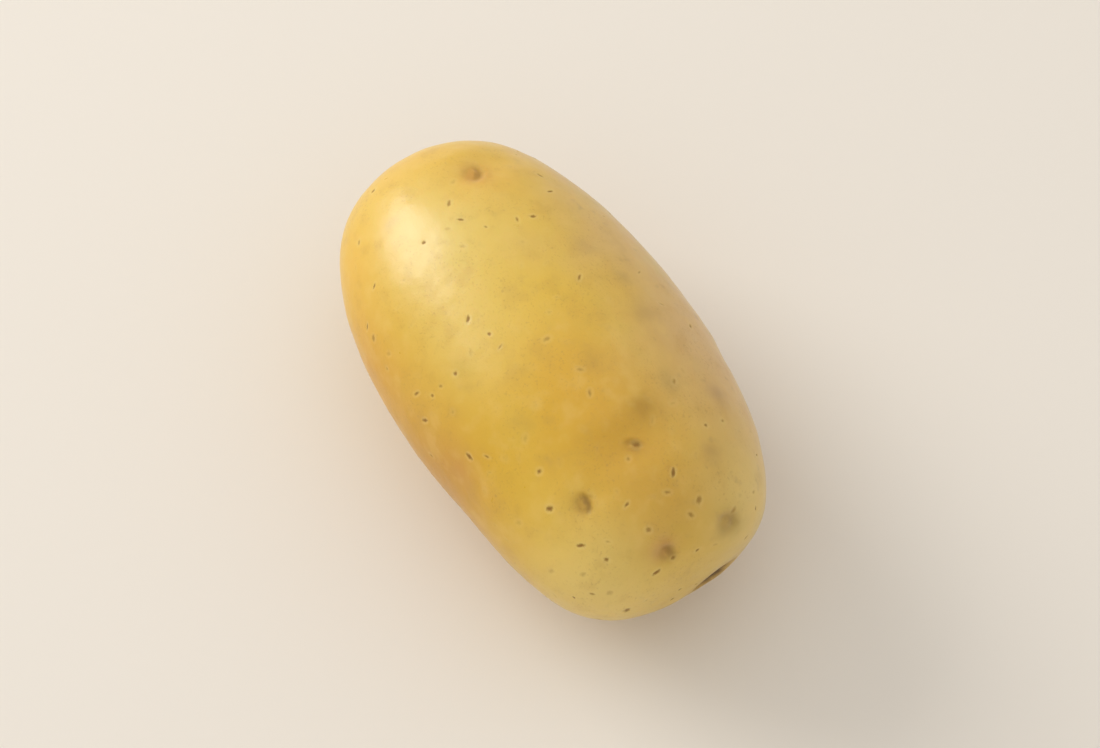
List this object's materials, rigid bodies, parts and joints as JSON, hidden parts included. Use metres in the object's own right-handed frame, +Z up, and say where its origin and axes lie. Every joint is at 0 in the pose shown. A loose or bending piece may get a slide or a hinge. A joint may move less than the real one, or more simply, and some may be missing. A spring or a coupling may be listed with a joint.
{
  "type": "potato",
  "caption": "Whole raw washed potato, a long oval tuber with shallow eyes, lying on a small flat on its underside.",
  "frame": {"origin": "under the middle of the tuber, on the surface that its rest flat stands on", "axes": "+X along the tuber from the stem end to the rose end, +Y across its width, +Z up through its thickness from the rest flat"},
  "size_m": [0.1004, 0.059, 0.0525],
  "materials": {
    "potato_skin": "satin"
  },
  "bodies": {
    "root": {"potato": "potato_skin"}
  },
  "joints": []
}
